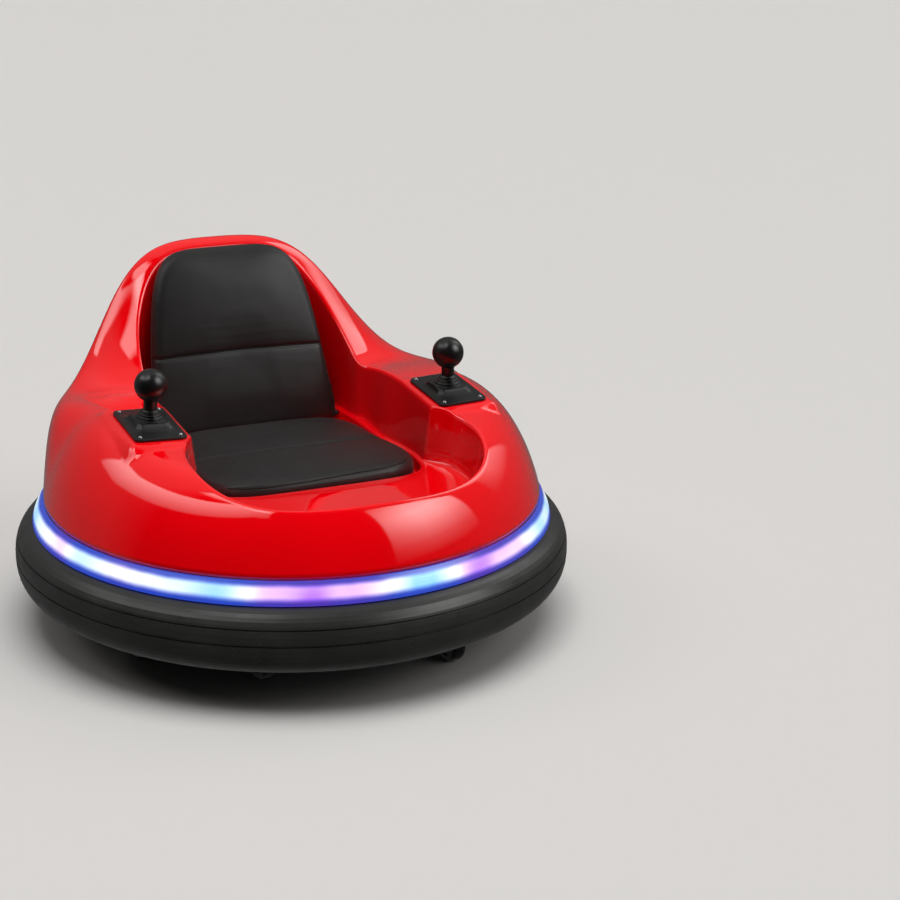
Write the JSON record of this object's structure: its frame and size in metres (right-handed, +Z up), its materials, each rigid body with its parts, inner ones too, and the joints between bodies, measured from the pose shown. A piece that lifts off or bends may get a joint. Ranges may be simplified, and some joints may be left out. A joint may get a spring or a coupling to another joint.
{
  "type": "ride-on bumper car",
  "caption": "Round electric ride-on bumper car for a child: moulded shell with cockpit and raised hood, rubber bumper ring, lit strip, padded seat, joysticks, driven wheels and castors.",
  "frame": {"origin": "on the floor, under the centre of the bumper ring", "axes": "+Z up, the car faces -Y and the driver's left hand is on the +X side"},
  "size_m": [0.7158, 0.7158, 0.436],
  "materials": {
    "shell": "glossy moulded plastic, red",
    "bumper": "matte rubber, dark grey",
    "light": "translucent lens, lit bluish white",
    "chassis": "matte moulded plastic, black",
    "battery": "satin plastic case, dark grey",
    "cushion": "grained vinyl, black",
    "console": "satin plastic, black",
    "boot": "matte rubber, black",
    "lever": "satin plastic, black",
    "knob": "polished plastic, black",
    "motor": "matte plastic gearbox, dark grey",
    "axle": "turned steel",
    "hub": "matte moulded plastic, pale grey",
    "wheel_rubber": "matte rubber, black",
    "castor_metal": "zinc-plated pressed steel",
    "castor_rubber": "matte rubber, black"
  },
  "bodies": {
    "car": {"body_shell": "shell", "bumper_ring": "bumper", "light_strip": "light", "chassis": "chassis", "battery": "battery", "seat_cushion": "cushion", "back_cushion": "cushion", "joystick_plate_left": "console", "joystick_boot_left": "boot", "joystick_lever_left": "lever", "joystick_knob_left": "knob", "joystick_plate_right": "console", "joystick_boot_right": "boot", "joystick_lever_right": "lever", "joystick_knob_right": "knob", "gear_motor_left": "motor", "gear_motor_right": "motor", "castor_plate_front_left": "castor_metal", "castor_plate_front_right": "castor_metal", "castor_plate_rear_left": "castor_metal", "castor_plate_rear_right": "castor_metal"},
    "drive_wheel_left": {"drive_axle_left": "axle", "drive_hub_left": "hub", "drive_tyre_left": "wheel_rubber"},
    "drive_wheel_right": {"drive_axle_right": "axle", "drive_hub_right": "hub", "drive_tyre_right": "wheel_rubber"},
    "castor_swivel_front_left": {"castor_fork_front_left": "castor_metal"},
    "castor_roll_front_left": {"castor_wheel_front_left": "castor_rubber"},
    "castor_swivel_front_right": {"castor_fork_front_right": "castor_metal"},
    "castor_roll_front_right": {"castor_wheel_front_right": "castor_rubber"},
    "castor_swivel_rear_left": {"castor_fork_rear_left": "castor_metal"},
    "castor_roll_rear_left": {"castor_wheel_rear_left": "castor_rubber"},
    "castor_swivel_rear_right": {"castor_fork_rear_right": "castor_metal"},
    "castor_roll_rear_right": {"castor_wheel_rear_right": "castor_rubber"}
  },
  "joints": [
    {"name": "drive_wheel_left_spin", "type": "hinge", "parent": "car", "child": "drive_wheel_left", "pos_m": [0.232, -0.072, 0.04], "axis": [1, 0, 0], "continuous": true},
    {"name": "drive_wheel_right_spin", "type": "hinge", "parent": "car", "child": "drive_wheel_right", "pos_m": [-0.232, -0.072, 0.04], "axis": [1, 0, 0], "continuous": true},
    {"name": "castor_front_left_swivel", "type": "hinge", "parent": "car", "child": "castor_swivel_front_left", "pos_m": [0.11502, -0.21632, 0.06], "axis": [0, 0, 1], "continuous": true},
    {"name": "castor_front_left_spin", "type": "hinge", "parent": "castor_swivel_front_left", "child": "castor_roll_front_left", "pos_m": [0.11579, -0.23831, 0.025], "axis": [0.9994, 0.0349, 0], "continuous": true},
    {"name": "castor_front_right_swivel", "type": "hinge", "parent": "car", "child": "castor_swivel_front_right", "pos_m": [-0.11502, -0.21632, 0.06], "axis": [0, 0, 1], "continuous": true},
    {"name": "castor_front_right_spin", "type": "hinge", "parent": "castor_swivel_front_right", "child": "castor_roll_front_right", "pos_m": [-0.11808, -0.19454, 0.025], "axis": [-0.9903, -0.1392, 0], "continuous": true},
    {"name": "castor_rear_left_swivel", "type": "hinge", "parent": "car", "child": "castor_swivel_rear_left", "pos_m": [0.11502, 0.21632, 0.06], "axis": [0, 0, 1], "continuous": true},
    {"name": "castor_rear_left_spin", "type": "hinge", "parent": "castor_swivel_rear_left", "child": "castor_roll_rear_left", "pos_m": [0.12535, 0.1969, 0.025], "axis": [0.8829, 0.4695, 0], "continuous": true},
    {"name": "castor_rear_right_swivel", "type": "hinge", "parent": "car", "child": "castor_swivel_rear_right", "pos_m": [-0.11502, 0.21632, 0.06], "axis": [0, 0, 1], "continuous": true},
    {"name": "castor_rear_right_spin", "type": "hinge", "parent": "castor_swivel_rear_right", "child": "castor_roll_rear_right", "pos_m": [-0.12732, 0.19808, 0.025], "axis": [0.829, -0.5592, 0], "continuous": true}
  ]
}
